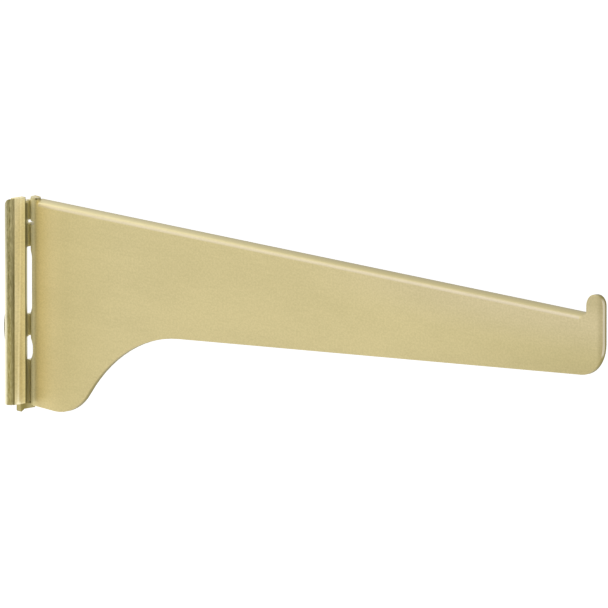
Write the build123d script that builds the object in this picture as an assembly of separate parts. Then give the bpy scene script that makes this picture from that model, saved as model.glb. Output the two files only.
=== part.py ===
from build123d import *
import math
import os

# Slotted shelf bracket folded from one sheet, in millimetres.
# X runs along the arm to its tip, +Z is up, and the arm's hem folds towards +Y.
# Heights are from the top of the arm while it is shaped. The part then moves up so that
# its origin is on the face that bears on the upright, midway across the flange.

# Sheet
SHEET = 2.0
EDGE_R = 0.3
FOLD_GAP = 0.2
FOLD_R = SHEET + FOLD_GAP / 2

# Flange, two layers thick
FLANGE_W = 15.6
FLANGE_T = 2 * SHEET + FOLD_GAP
FOLD_Y = FLANGE_W / 2 - FOLD_R
LEAF_X = SHEET + FOLD_GAP
LEAF_TOP = 0.75
LEAF_BOTTOM = -73.6
CROWN_H = 0.3
CREASE_R = 0.3
CREASE_TURN = 65.0
FAR_FLAT = 0.8
FAR_TOP = 0.35
FAR_FOLD_TOP = -0.3
FAR_BOTTOM = -74.5
REAR_TOP = -1.1
REAR_TOP_LOW = -2.1
TONGUE_BOTTOM = -77.0
TONGUE_HEEL = -76.15
TONGUE_INSET = 4.4
TONGUE_EDGE_Y = TONGUE_INSET - FOLD_Y
TONGUE_NOSE = 2.0
TONGUE_R = 0.6

# Bend from the flange into the arm, and the groove between it and the near leaf
ROOT_RI = 1.0
ROOT_RO = ROOT_RI + SHEET
ROOT_X = FLANGE_T + ROOT_RI
ROOT_Y = FOLD_Y - FAR_FLAT
PLATE_FAR_Y = ROOT_Y - ROOT_RI
PLATE_Y = PLATE_FAR_Y - SHEET
GROOVE_W = 2.45
LEAF_EDGE_Y = PLATE_Y - GROOVE_W
CROWN_Y = (LEAF_EDGE_Y - FOLD_Y) / 2

# Arm outline
ARM_L = 304.8
EDGE_SLOPE = 0.0839
EDGE_Z0 = -46.48
HOLLOW_R = 68.6
HOLLOW_X = 83.25
LOBE_R = 21.65
LOBE_Z = -75.1
HEEL_Z = -74.7
TOE_R = 12.3

# Rolled hem along the top
HEM_R = 2.5
HEM_RI = HEM_R - SHEET
HEM_Y = PLATE_Y + HEM_R
HEM_START = 2.2
HEM_X0 = ROOT_X + HEM_START
HEM_LEAF = 8.0
HEM_SHORT = 0.5
RUN_OUT = 3.8
RUN_OUT_Z = 0.3

# Lip at the tip
LIP_W = 8.7
LIP_X = ARM_L - LIP_W
HEM_X1 = LIP_X - HEM_SHORT
RUN_OUT_X = LIP_X - RUN_OUT
LIP_Z = 7.4
LIP_BACK_R = 4.6
LIP_FRONT_R = 3.6
LIP_FOOT_R = 1.0

# Windows that the blanks of the hook and the lug leave, and a small one above them
UPPER_WINDOW_Y = 2.1
WINDOW_R = 3.6
UPPER_WINDOW = (-42.2, -17.8)
UPPER_IN_ARM = 0.5
LOWER_WINDOW = (-58.8, -49.9)
LOWER_IN_ARM = 0.9
LOWER_WINDOW_Y = 2.7
PIP = (-9.5, -8.2)
PIP_IN_ARM = 1.7
PIP_R = 0.6
PIP_Y = 2.7

# Hook in the upper window and locating lug in the lower one
HOOK_RI = 0.5
HOOK_RO = HOOK_RI + SHEET
HOOK_Y = 1.5
HOOK_FAR_Y = HOOK_Y + SHEET
THROAT = 2.8
ROOT_PLAY = 0.3
HOOK_REACH = 9.9
HOOK_BULGE = 0.75
HOOK_DROP = 13.8
NOSE_R = 1.8
NOSE_TAPER = 1.4
LUG_REACH = 2.3
LUG_R = 1.0

# Height of the arm's top above the origin
ARM_TOP = 36.8

# How far a cutter passes the solid it cuts
PAST = 2.0


def slab(x, y, z):
    """Block between two limits on each axis."""
    centre = Pos((x[0] + x[1]) / 2, (y[0] + y[1]) / 2, (z[0] + z[1]) / 2)
    return centre * Box(x[1] - x[0], y[1] - y[0], z[1] - z[0])


def bend(cx, cy, inner, outer, x, y, z):
    """Sheet bent about an upright line, kept inside the limits."""
    height = z[1] - z[0]
    ring = Cylinder(outer, height) - Cylinder(inner, height)
    return (Pos(cx, cy, (z[0] + z[1]) / 2) * ring) & slab(x, y, z)


def side_plate(edges, y0, y1):
    """Plate with an outline drawn in X and Z, between two values of Y."""
    face = Plane.XZ * make_face(edges)
    return Pos(0, y1, 0) * extrude(face, y1 - y0, dir=(0, -1, 0))


def flange():
    """Rear layer, both side folds, both front leaves and the bend into the arm."""
    half = FLANGE_W / 2
    near = (LEAF_BOTTOM, LEAF_TOP)
    far = (FAR_BOTTOM, FAR_TOP)
    folded = (FAR_BOTTOM, FAR_FOLD_TOP)
    rear = slab((0, SHEET), (-FOLD_Y, FOLD_Y), (TONGUE_BOTTOM, REAR_TOP)) - rear_corners()
    fold_near = bend(FOLD_R, -FOLD_Y, FOLD_GAP / 2, FOLD_R, (0, FLANGE_T), (-half, -FOLD_Y), near)
    fold_near = fold_near - fold_run_out() - crease()
    fold_far = bend(FOLD_R, FOLD_Y, FOLD_GAP / 2, FOLD_R, (0, FLANGE_T), (FOLD_Y, half), folded)
    leaf_near = slab((LEAF_X, FLANGE_T), (-FOLD_Y, LEAF_EDGE_Y), near) + crown()
    leaf_far = slab((LEAF_X, FLANGE_T), (ROOT_Y, FOLD_Y), far)
    root = bend(ROOT_X, ROOT_Y, ROOT_RI, ROOT_RO, (LEAF_X, ROOT_X), (PLATE_Y, ROOT_Y), far)
    return rear + fold_near + fold_far + leaf_near + leaf_far + root


def rear_corners():
    """What is cut from the rear layer: its sloping shoulder, and round its tongue."""
    foot = (TONGUE_EDGE_Y, TONGUE_BOTTOM + TONGUE_R)
    toe = (TONGUE_EDGE_Y + TONGUE_R, TONGUE_BOTTOM)
    heel = (TONGUE_EDGE_Y + TONGUE_NOSE, TONGUE_HEEL)
    below = TONGUE_BOTTOM - PAST
    beside = make_face(
        [
            Line((-FOLD_Y, LEAF_BOTTOM), (TONGUE_EDGE_Y, LEAF_BOTTOM)),
            Line((TONGUE_EDGE_Y, LEAF_BOTTOM), foot),
            RadiusArc(foot, toe, -TONGUE_R),
            Polyline(toe, heel, (FOLD_Y, TONGUE_HEEL), (FOLD_Y, below), (-FOLD_Y, below), (-FOLD_Y, LEAF_BOTTOM)),
        ]
    )
    shoulder = make_face(Polyline((-FOLD_Y, REAR_TOP_LOW), (0, REAR_TOP), (-FOLD_Y, REAR_TOP), close=True))
    both = Plane.YZ * (beside + shoulder)
    return Pos(-PAST, 0, 0) * extrude(both, SHEET + 2 * PAST, dir=(1, 0, 0))


def fold_run_out():
    """What is cut from the top of the near fold, from its front down to its back."""
    low = (0, REAR_TOP_LOW)
    high = (FLANGE_T, LEAF_TOP)
    over = LEAF_TOP + PAST
    outline = [
        Line((-PAST, REAR_TOP_LOW), low),
        Spline(low, (FOLD_R, 0), high, tangents=((1, 0.5), (1, 0))),
        Line(high, (FLANGE_T, over)),
        Line((FLANGE_T, over), (-PAST, over)),
        Line((-PAST, over), (-PAST, REAR_TOP_LOW)),
    ]
    return side_plate(outline, -FLANGE_W, -FOLD_Y)


def crease():
    """Fine line along the near fold, where the sheet was set flat."""
    turn = math.radians(CREASE_TURN)
    line = (FOLD_R + FOLD_R * math.sin(turn), -FOLD_Y - FOLD_R * math.cos(turn))
    middle = (LEAF_BOTTOM + LEAF_TOP) / 2
    return Pos(line[0], line[1], middle) * Cylinder(CREASE_R, LEAF_TOP - LEAF_BOTTOM + PAST)


def crown():
    """Shallow swell along the front of the near leaf."""
    edge = LEAF_EDGE_Y - EDGE_R
    ends = ((FLANGE_T, -FOLD_Y), (FLANGE_T, edge))
    arc = ThreePointArc(ends[0], (FLANGE_T + CROWN_H, CROWN_Y), ends[1])
    face = make_face([arc, Line(ends[1], ends[0])])
    return Pos(0, 0, LEAF_BOTTOM) * extrude(face, LEAF_TOP - LEAF_BOTTOM, dir=(0, 0, 1))


def arm():
    """Flat plate of the arm with its lobe, sloping lower edge, toe and lip."""
    slope = math.hypot(EDGE_SLOPE, 1)
    hollow = (HOLLOW_X, EDGE_Z0 + EDGE_SLOPE * HOLLOW_X)
    hollow_c = (HOLLOW_X + HOLLOW_R * EDGE_SLOPE / slope, hollow[1] - HOLLOW_R / slope)
    apart = HOLLOW_R + LOBE_R
    lobe_cz = LOBE_Z + LOBE_R
    lobe_cx = hollow_c[0] - math.sqrt(apart ** 2 - (hollow_c[1] - lobe_cz) ** 2)
    share = LOBE_R / apart
    join = (lobe_cx + (hollow_c[0] - lobe_cx) * share, lobe_cz + (hollow_c[1] - lobe_cz) * share)
    lobe = (lobe_cx, LOBE_Z)
    toe = (ARM_L, EDGE_Z0 + EDGE_SLOPE * ARM_L)
    foot = (LIP_X, RUN_OUT_Z)
    outline = [
        Polyline(lobe, (ROOT_X, HEEL_Z), (ROOT_X, FAR_TOP), (HEM_X0, FAR_TOP), (HEM_X0, -HEM_R)),
        Polyline((HEM_X0, -HEM_R), (RUN_OUT_X, -HEM_R), foot, (LIP_X, LIP_Z), (ARM_L, LIP_Z)),
        Polyline((ARM_L, LIP_Z), toe, hollow),
        arc_about(hollow_c, HOLLOW_R, hollow, join),
        arc_about((lobe_cx, lobe_cz), LOBE_R, join, lobe),
    ]
    plate = side_plate(outline, PLATE_Y, PLATE_FAR_Y)
    for corner, radius in (
        (toe, TOE_R),
        ((LIP_X, LIP_Z), LIP_BACK_R),
        ((ARM_L, LIP_Z), LIP_FRONT_R),
        (foot, LIP_FOOT_R),
    ):
        plate = rounded(plate, (corner,), radius)
    cut = [e for e in plate.edges() if on_cut_edge(e)]
    return fillet(cut, EDGE_R)


def rounded(plate, corners, radius):
    """Plate with the corners at these places in X and Z rounded."""
    across = plate.edges().filter_by(Axis.Y)
    return fillet([e for e in across if any(near_to(e, c) for c in corners)], radius)


def near_to(edge, place):
    """Whether an edge's middle is at a place in X and Z."""
    middle = edge.center()
    return math.hypot(middle.X - place[0], middle.Z - place[1]) < EDGE_R


def on_cut_edge(edge):
    """Whether an edge is on the arm's free outline, clear of the hem and the flange."""
    box = edge.bounding_box()
    flat = box.max.Y - box.min.Y < EDGE_R
    hemmed = box.min.X < RUN_OUT_X + EDGE_R and box.max.Z > -HEM_R - EDGE_R
    rising = box.min.X < LIP_X - LIP_FOOT_R and box.max.Z > -HEM_R
    return flat and not hemmed and not rising and box.max.X > ROOT_X + EDGE_R


def arc_about(centre, radius, start, end):
    """Arc of a known circle by the short way between two of its points."""
    mid = ((start[0] + end[0]) / 2 - centre[0], (start[1] + end[1]) / 2 - centre[1])
    scale = radius / math.hypot(*mid)
    return ThreePointArc(start, (centre[0] + mid[0] * scale, centre[1] + mid[1] * scale), end)


def hem():
    """Top edge of the arm rolled over to the far side, with its hidden leaf."""
    ring = (Circle(HEM_R) - Circle(HEM_RI)) & (Pos(0, HEM_R / 2) * Rectangle(2 * HEM_R, HEM_R))
    roll = Pos(HEM_X0, HEM_Y, -HEM_R) * extrude(Plane.YZ * ring, HEM_X1 - HEM_X0, dir=(1, 0, 0))
    behind = (HEM_Y + HEM_RI, HEM_Y + HEM_R)
    leaf = slab((HEM_X0, HEM_X1), behind, (-HEM_LEAF, -HEM_R))
    leaf = fillet(leaf.edges().filter_by(Axis.Y).group_by(Axis.Z)[0], SHEET)
    return roll + leaf


def window(height, in_arm, near, radius):
    """Opening through the bend and the far leaf, and through the rear layer past near."""
    middle = LEAF_X - FOLD_GAP / 2
    front = FLANGE_T + in_arm
    across = (PLATE_Y - GROOVE_W / 2, FLANGE_W)
    deep = slab((-PAST, front), across, height)
    ends = deep.edges().filter_by(Axis.Y).group_by(Axis.X)[-1]
    ahead = fillet(ends, radius) & slab((middle, front), across, height)
    return ahead + slab((-PAST, middle), (near, FLANGE_W), height)


def turned(root):
    """Bend that turns the sheet back into a hook, and the room it takes."""
    bend_y = HOOK_Y - HOOK_RI
    room = slab((0, SHEET), (bend_y, HOOK_FAR_Y), root)
    inside = ((-HOOK_RI, SHEET), (bend_y, HOOK_FAR_Y))
    return room, bend(-HOOK_RI, bend_y, HOOK_RI, HOOK_RO, inside[0], inside[1], root)


def hook():
    """Hook with a long sloping back and a nose that hangs behind the upright's wall."""
    low, high = UPPER_WINDOW[0] + ROOT_PLAY, UPPER_WINDOW[1] - ROOT_PLAY
    back = HOOK_BULGE - HOOK_REACH
    tip = UPPER_WINDOW[0] - HOOK_DROP
    shoulder = (back, UPPER_WINDOW[0])
    heel = (back, tip + NOSE_R)
    chin = (back + NOSE_R, tip)
    inner = (-THROAT - NOSE_TAPER, tip)
    outline = [
        Polyline(chin, inner, (-THROAT, low), (-HOOK_RI, low), (-HOOK_RI, high), (-THROAT, high), shoulder),
        ThreePointArc(shoulder, (-HOOK_REACH, (shoulder[1] + heel[1]) / 2), heel),
        arc_about((back + NOSE_R, tip + NOSE_R), NOSE_R, heel, chin),
    ]
    blade = side_plate(outline, HOOK_Y, HOOK_FAR_Y)
    room, turn = turned((low, high))
    return room, turn + rounded(blade, (inner, (-THROAT, high)), NOSE_R / 2)


def lug():
    """Short lug that keeps the bracket from swinging sideways."""
    low, high = LOWER_WINDOW[0] + ROOT_PLAY, LOWER_WINDOW[1] - ROOT_PLAY
    blade = slab((-LUG_REACH, -HOOK_RI), (HOOK_Y, HOOK_FAR_Y), (low, high))
    room, turn = turned((low, high))
    return room, turn + rounded(blade, ((-LUG_REACH, low), (-LUG_REACH, high)), LUG_R)


bracket = flange() + arm() + hem()
bracket -= window(UPPER_WINDOW, UPPER_IN_ARM, UPPER_WINDOW_Y, WINDOW_R)
bracket -= window(LOWER_WINDOW, LOWER_IN_ARM, LOWER_WINDOW_Y, WINDOW_R)
bracket -= window(PIP, PIP_IN_ARM, PIP_Y, PIP_R)
for room, solid in (hook(), lug()):
    bracket = bracket - room + solid

bracket = Pos(0, 0, ARM_TOP) * bracket
os.makedirs("parts", exist_ok=True)
export_step(bracket, "parts/bracket.step")
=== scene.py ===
import math

import bpy
import bmesh
from bpy.props import FloatProperty, FloatVectorProperty, PointerProperty
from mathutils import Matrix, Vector

bl_info = {
    "name": "Slotted Shelf Bracket",
    "version": (1, 0, 0),
    "blender": (4, 5, 0),
    "location": "View3D > Sidebar > Bracket",
    "description": "Finishes the folded sheet bracket and sets its stage",
    "category": "Object",
}

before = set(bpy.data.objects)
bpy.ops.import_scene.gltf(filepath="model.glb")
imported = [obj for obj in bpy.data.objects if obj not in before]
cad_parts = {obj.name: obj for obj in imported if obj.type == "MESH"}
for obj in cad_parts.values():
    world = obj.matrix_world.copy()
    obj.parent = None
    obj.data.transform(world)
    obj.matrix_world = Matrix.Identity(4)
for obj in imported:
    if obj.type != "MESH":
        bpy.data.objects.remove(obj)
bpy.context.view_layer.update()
NODE = "bracket"

# Lengths are in metres. In the lists for the masks, a pair is where a change along an axis
# starts and ends. Three values are a band's two limits and how softly it ends beyond them.
# Four values are a change's start and end, then its strength at each. Names in FACING
# compare the way the surface faces, and names in RANGE a noise.
ARM_TOP = 0.0368
FLANGE_H = 0.0745

# Camera. LENS and SENSOR are in millimetres.
AIM_RIGHT = 0.10098
AIM_DOWN = 0.03781
LENS = 1500.0
SENSOR = 36.0
CLIP_START = 0.01
CLIP_END = 100.0

# Floor, from its middle to its side, and the light around it
FLOOR_HALF = 6.0
FLOOR_WHITE = (0.92, 0.92, 0.92, 1)
FLOOR_ROUGHNESS = 0.9
FLOOR_GLOW = 0.5
WORLD_LIGHT = 0.75
# Name, place, target, size in metres and power in watts
LAMPS = (
    ("Key", (-0.85, -0.80, 0.42), (0.13, 0, 0), 0.9, 2.4),
    ("Fill", (0.9, -0.35, 0.35), (0.15, 0, 0), 0.8, 2.0),
)

# Grain of the rolled sheet. Three values here are noise scales along X, Y and Z.
GRAIN_SCALE = 1.0
GRAIN_BROAD = (18, 60, 60)
GRAIN_FINE = (120, 900, 900)
GRAIN_DOTS = (1100, 1100, 1600)
BROAD_SHARE = 0.6
FINE_SHARE = 0.4
DOTS_HEIGHT = 0.5
CLOUD_RANGE = (0.38, 0.62, 0.20, 0.40)
DOTS_RANGE = (0.32, 0.68, 0.0, 0.4)
ROUGH_RANGE = (0.3, 0.7)
ROUGH_LESS = 0.03
ROUGH_MORE = 0.04
SPECKLE_GRAIN = (2200, 2200, 500)
SPECKLE_RANGE = (0.34, 0.66, 0.72, 1.0)
RAGGED_SCALE = 1300.0
RAGGED_DEPTH = 0.0002

# The near fold of the flange
FOLD_SIDE = (-0.0055, -0.0058)
FOLD_DULL = (ARM_TOP - 0.030, ARM_TOP - 0.052)
CREASE_FRONT = (0.0034, 0.0041)
CREASE_SIDE = (-0.0057, -0.0061)
CREASE_DEPTH = (ARM_TOP - 0.010, ARM_TOP - 0.036, 0.0, 0.6)
SHOULDER_FRONT = (0.0028, 0.0034)
SHOULDER_SIDE = (-0.0070, -0.0060, 0.0003)
SHOULDER_DEPTH = (ARM_TOP - 0.036, ARM_TOP - 0.008, 0.14, 0.27)
RIM_BACK = (0.0029, 0.0014)
RIM_SIDE = (-0.0058, -0.0062)
RIM_DEPTH = (ARM_TOP, ARM_TOP - 0.040, 0.35, 0.9)

# The front leaf and its ridge. RIDGE_HIGH and RIDGE_LOW are the ridge's place across the
# flange at its top and its foot, RIDGE_LEAN ends with them in place of strengths, and
# RIDGE_WIDTH is measured from the ridge's line.
RIDGE_HIGH = -0.0030
RIDGE_LOW = -0.0043
LEAF_FRONT = (0.0041, 0.0048, 0.0001)
LEAF_SIDE = (-0.0006, -0.0008)
LEAF_BRIGHT = (ARM_TOP - 0.064, ARM_TOP - 0.040, 0.0, 0.45)
LEAF_BEYOND = (-0.0032, -0.0018, 0.0, 0.6)
RIDGE_LEAN = (ARM_TOP - FLANGE_H, ARM_TOP, RIDGE_LOW, RIDGE_HIGH)
RIDGE_WIDTH = (0.00065, 0.0001)

# The groove, the burrs, the tongue, the windows and the hook
GROOVE_EDGE = (-0.0007, 0.0016, 0.0002)
GROOVE_FRONT = (0.0046, 0.0044)
GROOVE_FLOOR = (0.0030, 0.0023)
GROOVE_WIDTH = (-0.0006, 0.0046, 0.0006)
GROOVE_DEPTH = (0.0008, 0.0034)
GROOVE_FOOT = (ARM_TOP - 0.066, ARM_TOP - 0.056, 0.85, 1.0)
BURR_TOP = (ARM_TOP - 0.0023, ARM_TOP - 0.0016)
BURR_BACK = (0.0024, 0.0021)
BURR_WIDTH = (-0.001, 0.0026, 0.0004)
LEAF_FOOT = (ARM_TOP - 0.0724, ARM_TOP - 0.0732)
LEAF_FOOT_WIDTH = (-0.0048, -0.0036, 0.0006)
TONGUE_TOP = (ARM_TOP - 0.0736, ARM_TOP - 0.0740)
TONGUE_FRONT = (0.0026, 0.0022)
SILL_FACING = (0.3, 0.6)
SILL_FRONT = (0.0072, 0.0066)
SILL_BELOW = (ARM_TOP - 0.0040, ARM_TOP - 0.0050)
HOOK_BEHIND = (0.0019, 0.0016)
HOOK_WIDTH = (0.0010, 0.0036, 0.0001)

# The bend and the rolled edge
EAR_TOP = (ARM_TOP - 0.0006, ARM_TOP + 0.0001)
EAR_SIDE = (0.0010, 0.0014)
EAR_ALONG = (0.0030, 0.0074, 0.0004)
EAR_CORNER = (0.0062, 0.0070)
BEND_ALONG = (0.0030, 0.0056, 0.0013)
BEND_SIDE = (0.0018, 0.0030, 0.0002)
BEAD_HEIGHT = (ARM_TOP - 0.0020, ARM_TOP - 0.0008)
BEAD_SIDE = (0.0019, 0.0023)
BEAD_START = (0.0070, 0.0078)
BEAD_SHADE_ALONG = (0.01, 0.20)
BEAD_FAR_SIDE = (0.0026, 0.0046)
SHINE_HEIGHT = (ARM_TOP - 0.0021, ARM_TOP - 0.0017, 0.0006)
SHINE_ALONG = (0.0085, 0.2922, 0.0006)

# The arm, its lip and its cut edges
REAR_FACE = (0.0012, 0.0002)
FAR_SIDE = (0.0038, 0.0050)
ROOT_END = (0.0045, 0.0083)
PLATE_START = (0.0100, 0.0240)
WARM_ALONG = (0.060, 0.010, 0.0, 0.35)
PALE_ALONG = (0.12, 0.26)
PALE_UP = (0.0190, 0.0340)
TIP_ALONG = (0.200, 0.300)
TIP_DOWN = (ARM_TOP - 0.001, ARM_TOP - 0.022)
LIP_ALONG = (0.290, 0.296)
LIP_UP = (ARM_TOP - 0.002, ARM_TOP + 0.005)
NOSE_ALONG = (0.3012, 0.3042)
CUT_FACING = (0.55, 0.25)
CUT_ALONG = (0.0085, 0.0100)
CUT_BELOW = (ARM_TOP - 0.0085, ARM_TOP - 0.0095)
CUT_LIP = (0.2958, 0.2962)
CUT_TORN = (0.0024, 0.0034, 0.0, 0.5)
CUT_SHEER = (0.0020, 0.0030, 0.55, 1.0)
END_FACING = (0.60, 0.95)
END_SIDE = (0.0020, 0.0029, 0.0003)
END_ALONG = (0.29, 0.30)
END_HEIGHT = (ARM_TOP - 0.0130, ARM_TOP + 0.0075, 0.0020)

# Tints that the plating is multiplied by; the SHADE tints are painted shade
DARK_TONE = (0.86, 0.86, 0.83, 1)
LIGHT_TONE = (1.14, 1.14, 1.17, 1)
WARM_TINT = (0.94, 0.90, 0.72, 1)
PALE_TINT = (1.0, 1.0, 1.13, 1)
TIP_SHADE = (0.86, 0.86, 0.83, 1)
LIP_SHADE = (0.88, 0.88, 0.84, 1)
NOSE_SHADE = (0.78, 0.77, 0.72, 1)
BEAD_SHADE = (0.66, 0.66, 0.66, 1)

# Shares of each effect, and how metallic, rough and raised the plating is
SILL_SHADE_SHARE = 0.4
HOOK_SHADE_SHARE = 0.55
TONGUE_SHADE_SHARE = 0.8
EAR_SHADE_SHARE = 0.4
BEAD_SHADE_SHARE = 0.9
SHINE_SHARE = 0.45
END_HIGHLIGHT_SHARE = 0.45
METAL = 0.85
BEND_DULL = 0.54
FOLD_ROUGHNESS = 0.2
FOLD_HEIGHT = 1.5
BUMP_STRENGTH = 0.5


# Settings

class BracketFinish(bpy.types.PropertyGroup):
    plate_color: FloatVectorProperty(
        name="Plating",
        description="Colour of the pale brass plating on the flat of the arm",
        subtype="COLOR", size=4, min=0, max=1, default=(0.531, 0.455, 0.230, 1),
    )
    # Painted light: the bend and what lies behind it are coloured brighter, standing in for light that the
    # groove keeps off.
    root_light_color: FloatVectorProperty(
        name="Root light",
        description="Colour painted light at the bend and behind it, where the groove would leave it dark",
        subtype="COLOR", size=4, min=0, max=1, default=(0.900, 0.813, 0.469, 1),
    )
    # Painted highlight tint along the shoulder of the rolled edge.
    shoulder_highlight_color: FloatVectorProperty(
        name="Shoulder highlight",
        description="Colour of the painted highlight where the arm turns into its rolled edge",
        subtype="COLOR", size=4, min=0, max=1, default=(0.54, 0.48, 0.40, 1),
    )
    # Painted light on the groove's floor beside the arm, where the groove would otherwise render dark.
    groove_light_color: FloatVectorProperty(
        name="Groove light",
        description="Colour of the painted light on the groove's floor beside the arm",
        subtype="COLOR", size=4, min=0, max=1, default=(0.91, 0.85, 0.54, 1),
    )
    # Painted highlight on the tip's cut end.
    end_highlight_color: FloatVectorProperty(
        name="End highlight",
        description="Colour of the painted highlight on the tip's cut end",
        subtype="COLOR", size=4, min=0, max=1, default=(0.842, 0.766, 0.651, 1),
    )
    # Painted light: the arm just past the bend is coloured lighter, against the shade that the flange casts
    # there.
    near_light_color: FloatVectorProperty(
        name="Lit beside the root",
        description="Colour of the arm just past the bend, painted lighter against the shade there",
        subtype="COLOR", size=4, min=0, max=1, default=(0.641, 0.545, 0.287, 1),
    )
    # Painted light: the front leaf is coloured lighter than the arm, and this colour also lifts the front
    # of the near fold and the rolled edge near the bend.
    leaf_light_color: FloatVectorProperty(
        name="Lit leaf",
        description="Colour painted as light on the front leaf, the front of the near fold and the rolled edge near the bend",
        subtype="COLOR", size=4, min=0, max=1, default=(0.708, 0.632, 0.373, 1),
    )
    # Dull colour of the lower near fold and the sheared edges; on the tongue it is painted shade.
    dull_and_shade_color: FloatVectorProperty(
        name="Dull fold",
        description="Colour of the lower near fold and the sheared edges, also painted shade on the tongue",
        subtype="COLOR", size=4, min=0, max=1, default=(0.278, 0.230, 0.072, 1),
    )
    # Painted highlight colour, used on the back of the near fold, the front leaf, its ridge and the burrs.
    highlight_color: FloatVectorProperty(
        name="Painted highlight",
        description="Colour of the painted highlights on the near fold, the front leaf and the burrs",
        subtype="COLOR", size=4, min=0, max=1, default=(0.938, 0.880, 0.641, 1),
    )
    # Painted shade in the crease; the same colour is the torn part of the sheared edges.
    crease_shade_and_tear_color: FloatVectorProperty(
        name="Crease shade",
        description="Colour of the painted shade in the crease beside the near leaf, and of the torn part of the sheared edges",
        subtype="COLOR", size=4, min=0, max=1, default=(0.163, 0.139, 0.048, 1),
    )
    # Painted shade on top of the rolled edge and of the bend.
    bead_shade_color: FloatVectorProperty(
        name="Bead shade",
        description="Colour of the painted shade on top of the rolled edge and of the bend",
        subtype="COLOR", size=4, min=0, max=1, default=(0.540, 0.470, 0.250, 1),
    )
    # Painted shade colour for the groove, the hook, the window sills and the ear's corner; it is also the
    # darker colour high on the near fold.
    shadow_color: FloatVectorProperty(
        name="Painted shade",
        description="Colour of the painted shade in the groove, on the hook, in the window sills and at the ear's corner, and of the darker top of the near fold",
        subtype="COLOR", size=4, min=0, max=1, default=(0.163, 0.139, 0.043, 1),
    )
    roughness: FloatProperty(
        name="Roughness",
        description="Roughness of the plating on the flat of the arm",
        subtype="FACTOR", min=0, max=1, default=0.40,
    )
    grain_depth: FloatProperty(
        name="Grain depth",
        description="Height of the fine rolled grain",
        subtype="DISTANCE", unit="LENGTH", min=0, max=0.001, default=0.00002,
    )


class BracketStage(bpy.types.PropertyGroup):
    floor_drop: FloatProperty(
        name="Floor drop",
        description="How far the floor lies under the bracket's origin",
        subtype="DISTANCE", unit="LENGTH", min=0.05, max=2, default=0.30,
    )
    view_turn: FloatProperty(
        name="View turn",
        description="Angle of the camera round the bracket, from the plain side towards the tip",
        subtype="ANGLE", unit="ROTATION", default=math.radians(48.3),
    )
    view_height: FloatProperty(
        name="View height",
        description="Angle of the camera above the level",
        subtype="ANGLE", unit="ROTATION", default=math.radians(10.82),
    )
    view_width: FloatProperty(
        name="View width",
        description="Width of the picture at the bracket",
        subtype="DISTANCE", unit="LENGTH", min=0.01, max=2, default=0.21537,
    )


# Shader building blocks

def wire(tree, start, end):
    tree.links.new(start, end)


def feed(tree, socket, value):
    """Give a socket a plain value, or wire another node's output to it."""
    if hasattr(value, "is_output"):
        wire(tree, value, socket)
    else:
        socket.default_value = value


def noise(tree, vector, scale=1.0, detail=4.0, rough=0.55):
    node = tree.nodes.new("ShaderNodeTexNoise")
    node.inputs["Scale"].default_value = scale
    node.inputs["Detail"].default_value = detail
    node.inputs["Roughness"].default_value = rough
    wire(tree, vector, node.inputs["Vector"])
    return node.outputs["Fac"]


def ranged(tree, value, low, high, out_low=0.0, out_high=1.0):
    node = tree.nodes.new("ShaderNodeMapRange")
    node.interpolation_type = "SMOOTHSTEP"
    for name, number in (("From Min", low), ("From Max", high), ("To Min", out_low), ("To Max", out_high)):
        node.inputs[name].default_value = number
    wire(tree, value, node.inputs["Value"])
    return node.outputs["Result"]


def math_node(tree, kind, first, second):
    node = tree.nodes.new("ShaderNodeMath")
    node.operation = kind
    for socket, value in zip(node.inputs, (first, second)):
        feed(tree, socket, value)
    return node.outputs[0]


def blend_colors(tree, factor, first, second, kind="MIX"):
    node = tree.nodes.new("ShaderNodeMix")
    node.data_type = "RGBA"
    node.blend_type = kind
    sockets = {s.identifier: s for s in node.inputs}
    for key, value in (("Factor_Float", factor), ("A_Color", first), ("B_Color", second)):
        feed(tree, sockets[key], value)
    return next(s for s in node.outputs if s.identifier == "Result_Color")


def stretched(tree, vector, scale):
    node = tree.nodes.new("ShaderNodeMapping")
    node.inputs["Scale"].default_value = scale
    wire(tree, vector, node.inputs["Vector"])
    return node.outputs["Vector"]


def new_group(name, inputs, outputs):
    group = bpy.data.node_groups.new(name, "ShaderNodeTree")
    for label, kind, default in inputs:
        socket = group.interface.new_socket(label, in_out="INPUT", socket_type=kind)
        if default is not None:
            socket.default_value = default
    for label, kind in outputs:
        group.interface.new_socket(label, in_out="OUTPUT", socket_type=kind)
    entry = group.nodes.new("NodeGroupInput")
    leave = group.nodes.new("NodeGroupOutput")
    return group, entry, leave


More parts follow.
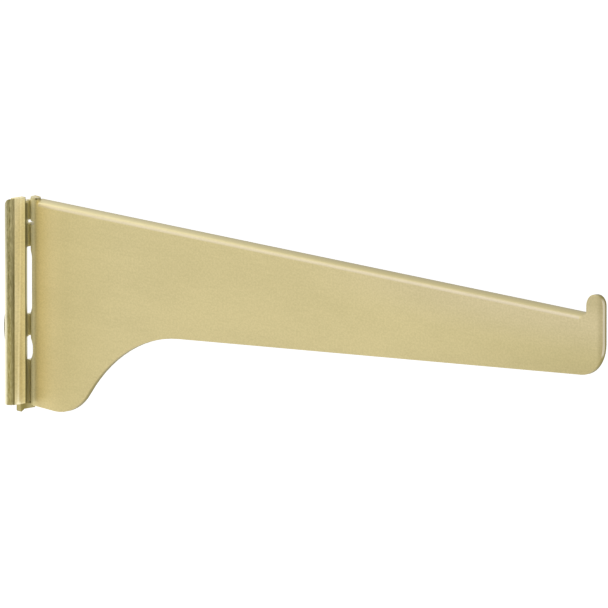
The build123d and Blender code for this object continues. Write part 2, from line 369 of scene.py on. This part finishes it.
def rolled_grain():
    """Long grain and fine dots of the rolled sheet, as a mask, a height and a tone to multiply by."""
    group, entry, leave = new_group(
        "Rolled grain",
        [("Vector", "NodeSocketVector", None), ("Scale", "NodeSocketFloat", 1.0)],
        [("Mask", "NodeSocketFloat"), ("Height", "NodeSocketFloat"), ("Tone", "NodeSocketColor")],
    )
    scaled = group.nodes.new("ShaderNodeVectorMath")
    scaled.operation = "SCALE"
    wire(group, entry.outputs["Vector"], scaled.inputs[0])
    wire(group, entry.outputs["Scale"], scaled.inputs["Scale"])
    base = scaled.outputs["Vector"]
    broad = noise(group, stretched(group, base, GRAIN_BROAD), detail=3.0)
    fine = noise(group, stretched(group, base, GRAIN_FINE), detail=5.0)
    dots = noise(group, stretched(group, base, GRAIN_DOTS), detail=3.0)
    broad_part = math_node(group, "MULTIPLY", broad, BROAD_SHARE)
    mask = math_node(group, "ADD", broad_part, math_node(group, "MULTIPLY", fine, FINE_SHARE))
    height = math_node(group, "ADD", fine, math_node(group, "MULTIPLY", dots, DOTS_HEIGHT))
    cloud = ranged(group, mask, *CLOUD_RANGE)
    points = ranged(group, dots, *DOTS_RANGE)
    tone = blend_colors(group, math_node(group, "ADD", cloud, points), DARK_TONE, LIGHT_TONE)
    wire(group, tone, leave.inputs["Tone"])
    wire(group, mask, leave.inputs["Mask"])
    wire(group, height, leave.inputs["Height"])
    return group


def place(tree, group, vector, **values):
    node = tree.nodes.new("ShaderNodeGroup")
    node.node_tree = group
    wire(tree, vector, node.inputs["Vector"])
    for name, value in values.items():
        node.inputs[name].default_value = value
    return node


def band(tree, value, low, high, soft):
    """One between two limits, fading outside them."""
    rise = ranged(tree, value, low - soft, low)
    fall = ranged(tree, value, high + soft, high)
    return math_node(tree, "MULTIPLY", rise, fall)


def times(tree, *masks):
    """Product of several masks."""
    total = masks[0]
    for mask in masks[1:]:
        total = math_node(tree, "MULTIPLY", total, mask)
    return total


def facing(tree):
    """The way the surface faces, by axis."""
    normal = tree.nodes.new("ShaderNodeSeparateXYZ")
    geometry = tree.nodes.new("ShaderNodeNewGeometry")
    wire(tree, geometry.outputs["True Normal"], normal.inputs["Vector"])
    return normal.outputs


def fold_mask(tree, place_of, coords):
    """The near side of the flange, where the sheet is folded hard."""
    ragged = math_node(tree, "MULTIPLY", noise(tree, coords, RAGGED_SCALE), RAGGED_DEPTH)
    depth = math_node(tree, "ADD", place_of["Y"], ragged)
    return ranged(tree, depth, *FOLD_SIDE)


def crease_shade_mask(tree, place_of):
    """Painted shade: the dark line in the crease, beside the near leaf, darkening towards it."""
    rise = ranged(tree, place_of["X"], *CREASE_FRONT)
    side = ranged(tree, place_of["Y"], *CREASE_SIDE)
    depth = ranged(tree, place_of["Z"], *CREASE_DEPTH)
    return times(tree, rise, side, depth)


def shoulder_light_mask(tree, place_of):
    """Painted light on the front of the near fold, paler towards the top."""
    rise = ranged(tree, place_of["X"], *SHOULDER_FRONT)
    side = band(tree, place_of["Y"], *SHOULDER_SIDE)
    return times(tree, rise, side, ranged(tree, place_of["Z"], *SHOULDER_DEPTH))


def rim_highlight_mask(tree, place_of):
    """Painted highlight along the back of the near fold."""
    back = ranged(tree, place_of["X"], *RIM_BACK)
    side = ranged(tree, place_of["Y"], *RIM_SIDE)
    return times(tree, back, side, ranged(tree, place_of["Z"], *RIM_DEPTH))


def leaf_mask(tree, place_of):
    """The front leaf beside the near fold."""
    front = band(tree, place_of["X"], *LEAF_FRONT)
    return times(tree, front, ranged(tree, place_of["Y"], *LEAF_SIDE))


def ridge_highlight_mask(tree, place_of):
    """Painted highlight: the bright line down the swell of the front leaf, leaning towards the fold."""
    lean = ranged(tree, place_of["Z"], *RIDGE_LEAN)
    away = math_node(tree, "SUBTRACT", place_of["Y"], lean)
    return ranged(tree, math_node(tree, "ABSOLUTE", away, 0.0), *RIDGE_WIDTH)


def groove_shading_mask(tree, place_of):
    """Painted shade and light in the groove between the front leaf and the arm: the leaf's edge and the
    floor.
    """
    edge = band(tree, place_of["Y"], *GROOVE_EDGE)
    floor = ranged(tree, place_of["X"], *GROOVE_FLOOR)
    under = times(tree, floor, band(tree, place_of["Y"], *GROOVE_WIDTH))
    inside = times(tree, edge, ranged(tree, place_of["X"], *GROOVE_FRONT))
    return math_node(tree, "MAXIMUM", inside, under)


def glint_mask(tree, place_of):
    """Painted glints on the burred top of the rear layer and the foot of the front leaf."""
    top = ranged(tree, place_of["Z"], *BURR_TOP)
    back = ranged(tree, place_of["X"], *BURR_BACK)
    rear = times(tree, top, back, band(tree, place_of["Y"], *BURR_WIDTH))
    foot = ranged(tree, place_of["Z"], *LEAF_FOOT)
    leaf = times(tree, foot, leaf_mask(tree, place_of), band(tree, place_of["Y"], *LEAF_FOOT_WIDTH))
    return math_node(tree, "MAXIMUM", rear, leaf)


def tongue_shade_mask(tree, place_of):
    """Painted shade on the tongue under the flange, dull all over."""
    low = ranged(tree, place_of["Z"], *TONGUE_TOP)
    return times(tree, low, ranged(tree, place_of["X"], *TONGUE_FRONT))


def ear_shade_mask(tree, place_of):
    """Painted shade on the top of the bend, between the groove and the rolled edge."""
    top = ranged(tree, place_of["Z"], *EAR_TOP)
    side = ranged(tree, place_of["Y"], *EAR_SIDE)
    return times(tree, top, side, band(tree, place_of["X"], *EAR_ALONG))


def bend_mask(tree, place_of):
    """The outside of the bend, which the groove would otherwise leave dark."""
    along = band(tree, place_of["X"], *BEND_ALONG)
    return times(tree, along, band(tree, place_of["Y"], *BEND_SIDE))


def sill_shade_mask(tree, place_of):
    """Painted shade on the cut floors of the windows in the flange."""
    upward = ranged(tree, facing(tree)["Z"], *SILL_FACING)
    near = ranged(tree, place_of["X"], *SILL_FRONT)
    return times(tree, upward, near, ranged(tree, place_of["Z"], *SILL_BELOW))


def hook_shade_mask(tree, place_of):
    """Painted shade on the hook and the lug behind the flange, with their bends."""
    behind = ranged(tree, place_of["X"], *HOOK_BEHIND)
    return times(tree, behind, band(tree, place_of["Y"], *HOOK_WIDTH))


def bead_shade_mask(tree, place_of):
    """Painted shade on the top of the rolled edge."""
    high = ranged(tree, place_of["Z"], *BEAD_HEIGHT)
    back = ranged(tree, place_of["Y"], *BEAD_SIDE)
    return times(tree, high, back, ranged(tree, place_of["X"], *BEAD_START))


def shine_mask(tree, place_of):
    """Painted highlight on the shoulder where the arm turns into its rolled edge."""
    shoulder = band(tree, place_of["Z"], *SHINE_HEIGHT)
    return times(tree, shoulder, band(tree, place_of["X"], *SHINE_ALONG))


def tip_shade_mask(tree, place_of):
    """Painted shade: the lower corner of the tip is a little darker."""
    along = ranged(tree, place_of["X"], *TIP_ALONG)
    down = ranged(tree, place_of["Z"], *TIP_DOWN)
    return times(tree, along, down)


def cut_edge_mask(tree, place_of):
    """Sheared edges of the arm, away from the flange."""
    across = ranged(tree, math_node(tree, "ABSOLUTE", facing(tree)["Y"], 0.0), *CUT_FACING)
    beyond = ranged(tree, place_of["X"], *CUT_ALONG)
    low = ranged(tree, place_of["Z"], *CUT_BELOW)
    lip = ranged(tree, place_of["X"], *CUT_LIP)
    free = math_node(tree, "MAXIMUM", low, lip)
    return times(tree, across, beyond, free)


def end_highlight_mask(tree, place_of):
    """Painted highlight on the plain side's half of the tip's cut end."""
    end = ranged(tree, facing(tree)["X"], *END_FACING)
    side = band(tree, place_of["Y"], *END_SIDE)
    tip = ranged(tree, place_of["X"], *END_ALONG)
    height = band(tree, place_of["Z"], *END_HEIGHT)
    return times(tree, end, side, tip, height, END_HIGHLIGHT_SHARE)


def flat_color(tree, place_of, finish, mottle):
    """Plating on the arm and the front leaf with its grain, with painted light at the bend, beside it and
    on the leaf, and painted shade at the tip, the lip and the nose.
    """
    # Painted light just past the bend, fading to the plating along the arm
    beside = ranged(tree, place_of["X"], *PLATE_START)
    plate = blend_colors(tree, beside, tuple(finish.near_light_color), tuple(finish.plate_color))
    hidden = math_node(
        tree, "MAXIMUM",
        ranged(tree, place_of["X"], *REAR_FACE), ranged(tree, place_of["Y"], *FAR_SIDE),
    )
    # Painted light at the bend: the root colour applies from here back
    plated = math_node(tree, "MAXIMUM", ranged(tree, place_of["X"], *ROOT_END), hidden)
    plain = blend_colors(tree, plated, tuple(finish.root_light_color), plate)
    warm = ranged(tree, place_of["X"], *WARM_ALONG)
    plain = blend_colors(tree, warm, plain, WARM_TINT, "MULTIPLY")
    pale = times(tree, ranged(tree, place_of["X"], *PALE_ALONG), ranged(tree, place_of["Z"], *PALE_UP))
    plain = blend_colors(tree, pale, plain, PALE_TINT, "MULTIPLY")
    # Painted shade towards the lower corner of the tip
    shaded = blend_colors(tree, tip_shade_mask(tree, place_of), plain, TIP_SHADE, "MULTIPLY")
    # Painted shade on the lip and on the rounded nose of the tip
    upward = ranged(tree, place_of["Z"], *LIP_UP)
    lip = times(tree, ranged(tree, place_of["X"], *LIP_ALONG), upward)
    shaded = blend_colors(tree, lip, shaded, LIP_SHADE, "MULTIPLY")
    rounding = ranged(tree, place_of["X"], *NOSE_ALONG)
    shaded = blend_colors(tree, rounding, shaded, NOSE_SHADE, "MULTIPLY")
    # Painted light on the front leaf, lighter towards its top and towards the groove
    bright = ranged(tree, place_of["Z"], *LEAF_BRIGHT)
    leaf = blend_colors(tree, bright, tuple(finish.leaf_light_color), tuple(finish.highlight_color))
    beyond = ranged(tree, place_of["Y"], *LEAF_BEYOND)
    leaf = blend_colors(tree, beyond, leaf, tuple(finish.highlight_color))
    leafed = blend_colors(tree, leaf_mask(tree, place_of), shaded, leaf)
    # Painted highlight along the ridge of the front leaf
    ridge = times(tree, ridge_highlight_mask(tree, place_of), leaf_mask(tree, place_of))
    ridged = blend_colors(tree, ridge, leafed, tuple(finish.highlight_color))
    return blend_colors(tree, 1.0, ridged, mottle, "MULTIPLY")


def shade_and_fold_color(tree, place_of, finish, flat, fold):
    """Painted shade and light on the fold, the crease, the groove, the hook, the sills, the tongue, the ear
    and the rolled edge, and the darker near fold.
    """
    # The near fold is darker: the shadow colour high up, the dull colour towards its foot
    low = ranged(tree, place_of["Z"], *FOLD_DULL)
    dull = blend_colors(tree, low, tuple(finish.shadow_color), tuple(finish.dull_and_shade_color))
    folded = blend_colors(tree, fold, flat, dull)
    # Painted highlight on the back of the near fold
    rimmed = blend_colors(tree, rim_highlight_mask(tree, place_of), folded, tuple(finish.highlight_color))
    # Painted light on the front of the near fold
    lifted = blend_colors(tree, shoulder_light_mask(tree, place_of), rimmed, tuple(finish.leaf_light_color))
    # Painted shade in the crease beside the near leaf
    creased = blend_colors(tree, crease_shade_mask(tree, place_of), lifted, tuple(finish.crease_shade_and_tear_color))
    # Painted shade deep in the groove, turning to painted light on its floor beside the arm
    foot = ranged(tree, place_of["Z"], *GROOVE_FOOT)
    depth = times(tree, ranged(tree, place_of["Y"], *GROOVE_DEPTH), foot)
    groove = blend_colors(tree, depth, tuple(finish.shadow_color), tuple(finish.groove_light_color))
    grooved = blend_colors(tree, groove_shading_mask(tree, place_of), creased, groove)
    # Painted shade in the window sills
    sill = times(tree, sill_shade_mask(tree, place_of), SILL_SHADE_SHARE)
    # Painted shade on the hook and the lug
    hook = times(tree, hook_shade_mask(tree, place_of), HOOK_SHADE_SHARE)
    dark = math_node(tree, "MAXIMUM", hook, sill)
    hooked = blend_colors(tree, dark, grooved, tuple(finish.shadow_color))
    # Painted shade on the tongue under the flange
    tongue = times(tree, tongue_shade_mask(tree, place_of), TONGUE_SHADE_SHARE)
    tongued = blend_colors(tree, tongue, hooked, tuple(finish.dull_and_shade_color))
    # Painted glints on the rear layer's top and the front leaf's foot
    glinting = blend_colors(tree, glint_mask(tree, place_of), tongued, tuple(finish.highlight_color))
    # Painted shade on the top of the bend, darkest at its corner
    ear = ear_shade_mask(tree, place_of)
    eared = blend_colors(tree, times(tree, ear, EAR_SHADE_SHARE), glinting, tuple(finish.bead_shade_color))
    corner = times(tree, ear, ranged(tree, place_of["X"], *EAR_CORNER))
    eared = blend_colors(tree, corner, eared, tuple(finish.shadow_color))
    # Painted shade on top of the rolled edge: lighter near the bend, darker towards the tip and on the far
    # side
    shade_along = ranged(tree, place_of["X"], *BEAD_SHADE_ALONG)
    bead_shading = blend_colors(tree, shade_along, tuple(finish.leaf_light_color), tuple(finish.bead_shade_color))
    back = ranged(tree, place_of["Y"], *BEAD_FAR_SIDE)
    bead_shading = blend_colors(tree, back, bead_shading, BEAD_SHADE, "MULTIPLY")
    beaded = blend_colors(tree, times(tree, bead_shade_mask(tree, place_of), BEAD_SHADE_SHARE), eared, bead_shading)
    # Painted highlight tint along the shoulder of the rolled edge
    shine = times(tree, shine_mask(tree, place_of), SHINE_SHARE)
    return blend_colors(tree, shine, beaded, tuple(finish.shoulder_highlight_color))


def plating_material(finish):
    """Pale brass plating over rolled sheet, duller and rougher on the hard fold."""
    material = bpy.data.materials.new("Pale brass plating")
    material.use_nodes = True
    tree = material.node_tree
    tree.nodes.clear()
    out = tree.nodes.new("ShaderNodeOutputMaterial")
    shader = tree.nodes.new("ShaderNodeBsdfPrincipled")
    wire(tree, shader.outputs["BSDF"], out.inputs["Surface"])
    coords = tree.nodes.new("ShaderNodeTexCoord").outputs["Object"]
    split = tree.nodes.new("ShaderNodeSeparateXYZ")
    wire(tree, coords, split.inputs["Vector"])
    place_of = split.outputs
    grain = place(tree, rolled_grain(), coords, Scale=GRAIN_SCALE)

    speckle = noise(tree, stretched(tree, coords, SPECKLE_GRAIN), rough=0.7)
    fold = times(tree, fold_mask(tree, place_of, coords), ranged(tree, speckle, *SPECKLE_RANGE))
    torn = ranged(tree, place_of["Y"], *CUT_TORN)
    depth = ranged(tree, place_of["Y"], *CUT_SHEER)
    cut = times(tree, cut_edge_mask(tree, place_of), depth)

    flat = flat_color(tree, place_of, finish, grain.outputs["Tone"])
    toned = shade_and_fold_color(tree, place_of, finish, flat, fold)
    sheer = blend_colors(tree, torn, tuple(finish.dull_and_shade_color), tuple(finish.crease_shade_and_tear_color))
    sheared = blend_colors(tree, cut, toned, sheer)
    # Painted highlight on the tip's cut end
    fronted = blend_colors(tree, end_highlight_mask(tree, place_of), sheared, tuple(finish.end_highlight_color))
    wire(tree, fronted, shader.inputs["Base Color"])
    bend = bend_mask(tree, place_of)
    wire(tree, math_node(tree, "SUBTRACT", METAL, times(tree, bend, BEND_DULL)), shader.inputs["Metallic"])
    smoother, rougher = finish.roughness - ROUGH_LESS, finish.roughness + ROUGH_MORE
    rough = ranged(tree, grain.outputs["Mask"], *ROUGH_RANGE, smoother, rougher)
    wire(tree, math_node(tree, "ADD", rough, times(tree, fold, FOLD_ROUGHNESS)), shader.inputs["Roughness"])
    bump = tree.nodes.new("ShaderNodeBump")
    bump.inputs["Distance"].default_value = finish.grain_depth
    bump.inputs["Strength"].default_value = BUMP_STRENGTH
    raised = math_node(tree, "ADD", grain.outputs["Height"], times(tree, fold, FOLD_HEIGHT))
    wire(tree, raised, bump.inputs["Height"])
    wire(tree, bump.outputs["Normal"], shader.inputs["Normal"])
    return material


def pale_material():
    """White floor, lifted by a little glow so that it shows white and keeps the shadow."""
    material = bpy.data.materials.new("Pale floor")
    material.use_nodes = True
    tree = material.node_tree
    tree.nodes.clear()
    out = tree.nodes.new("ShaderNodeOutputMaterial")
    surface = tree.nodes.new("ShaderNodeBsdfPrincipled")
    surface.inputs["Base Color"].default_value = FLOOR_WHITE
    surface.inputs["Roughness"].default_value = FLOOR_ROUGHNESS
    glow = tree.nodes.new("ShaderNodeEmission")
    glow.inputs["Strength"].default_value = FLOOR_GLOW
    both = tree.nodes.new("ShaderNodeAddShader")
    wire(tree, surface.outputs["BSDF"], both.inputs[0])
    wire(tree, glow.outputs["Emission"], both.inputs[1])
    wire(tree, both.outputs["Shader"], out.inputs["Surface"])
    return material


# Operators

class BRACKET_OT_finish(bpy.types.Operator):
    """Give the folded bracket its plating"""
    bl_idname = "bracket.finish"
    bl_label = "Finish Bracket"

    def execute(self, context):
        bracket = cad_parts[NODE]
        material = plating_material(context.scene.bracket_finish)
        for slot in bracket.material_slots:
            slot.material = material
        return {"FINISHED"}


class BRACKET_OT_stage(bpy.types.Operator):
    """Set the floor, the lamps and the camera"""
    bl_idname = "bracket.stage"
    bl_label = "Set Stage"

    def execute(self, context):
        stage = context.scene.bracket_stage
        make_floor(stage)
        light_world(context.scene)
        for name, position, target, size, power in LAMPS:
            lamp(name, position, target, size, power)
        aim_camera(context.scene, stage)
        return {"FINISHED"}


def make_floor(stage):
    mesh = bpy.data.meshes.new("Floor")
    bm = bmesh.new()
    bmesh.ops.create_grid(bm, x_segments=1, y_segments=1, size=FLOOR_HALF)
    bmesh.ops.translate(bm, verts=bm.verts, vec=(0, 0, -stage.floor_drop))
    bm.to_mesh(mesh)
    bm.free()
    floor = bpy.data.objects.new("Floor", mesh)
    bpy.context.scene.collection.objects.link(floor)
    mesh.materials.append(pale_material())


def light_world(scene):
    world = bpy.data.worlds.new("Soft studio")
    scene.world = world
    world.use_nodes = True
    tree = world.node_tree
    tree.nodes.clear()
    out = tree.nodes.new("ShaderNodeOutputWorld")
    shown = tree.nodes.new("ShaderNodeBackground")
    shown.inputs["Color"].default_value = (1, 1, 1, 1)
    shown.inputs["Strength"].default_value = 1.0
    lit = tree.nodes.new("ShaderNodeBackground")
    lit.inputs["Strength"].default_value = WORLD_LIGHT
    path = tree.nodes.new("ShaderNodeLightPath")
    seen = math_node(tree, "MAXIMUM", path.outputs["Is Camera Ray"], path.outputs["Is Glossy Ray"])
    seen = math_node(tree, "MAXIMUM", seen, path.outputs["Is Transmission Ray"])
    mix = tree.nodes.new("ShaderNodeMixShader")
    wire(tree, seen, mix.inputs["Fac"])
    wire(tree, lit.outputs["Background"], mix.inputs[1])
    wire(tree, shown.outputs["Background"], mix.inputs[2])
    wire(tree, mix.outputs["Shader"], out.inputs["Surface"])


def lamp(name, position, target, size, power):
    data = bpy.data.lights.new(name, "AREA")
    data.shape = "SQUARE"
    data.size = size
    data.energy = power
    item = bpy.data.objects.new(name, data)
    bpy.context.scene.collection.objects.link(item)
    item.location = position
    item.rotation_euler = (Vector(target) - Vector(position)).to_track_quat("-Z", "Y").to_euler()


def aim_camera(scene, stage):
    """Long lens on the photograph's line of sight, aimed at the middle of its picture."""
    turn, height = stage.view_turn, stage.view_height
    back = Vector((math.sin(turn) * math.cos(height), -math.cos(turn) * math.cos(height), math.sin(height)))
    right = Vector((math.cos(turn), math.sin(turn), 0))
    up = back.cross(right)
    centre = Vector((0, 0, ARM_TOP)) + right * AIM_RIGHT - up * AIM_DOWN
    data = bpy.data.cameras.new("Camera")
    data.sensor_width = SENSOR
    data.lens = LENS
    distance = stage.view_width * data.lens / data.sensor_width
    data.clip_start = CLIP_START
    data.clip_end = CLIP_END
    camera = bpy.data.objects.new("Camera", data)
    scene.collection.objects.link(camera)
    camera.location = centre + back * distance
    camera.rotation_euler = back.to_track_quat("Z", "Y").to_euler()
    scene.camera = camera


class BRACKET_PT_panel(bpy.types.Panel):
    """Sidebar panel with the bracket's settings"""
    bl_idname = "BRACKET_PT_panel"
    bl_label = "Shelf Bracket"
    bl_space_type = "VIEW_3D"
    bl_region_type = "UI"
    bl_category = "Bracket"

    def draw(self, context):
        layout = self.layout
        for group in (context.scene.bracket_finish, context.scene.bracket_stage):
            for name in group.bl_rna.properties.keys():
                if name not in ("rna_type", "name"):
                    layout.prop(group, name)
        layout.operator("bracket.finish")
        layout.operator("bracket.stage")


CLASSES = (BracketFinish, BracketStage, BRACKET_OT_finish, BRACKET_OT_stage, BRACKET_PT_panel)


def register():
    for item in CLASSES:
        bpy.utils.register_class(item)
    bpy.types.Scene.bracket_finish = PointerProperty(type=BracketFinish)
    bpy.types.Scene.bracket_stage = PointerProperty(type=BracketStage)


def unregister():
    del bpy.types.Scene.bracket_stage
    del bpy.types.Scene.bracket_finish
    for item in reversed(CLASSES):
        bpy.utils.unregister_class(item)


def main():
    register()
    scene = bpy.context.scene
    scene.view_settings.view_transform = "Standard"
    bpy.ops.bracket.finish()
    bpy.ops.bracket.stage()


if __name__ == "__main__":
    main()
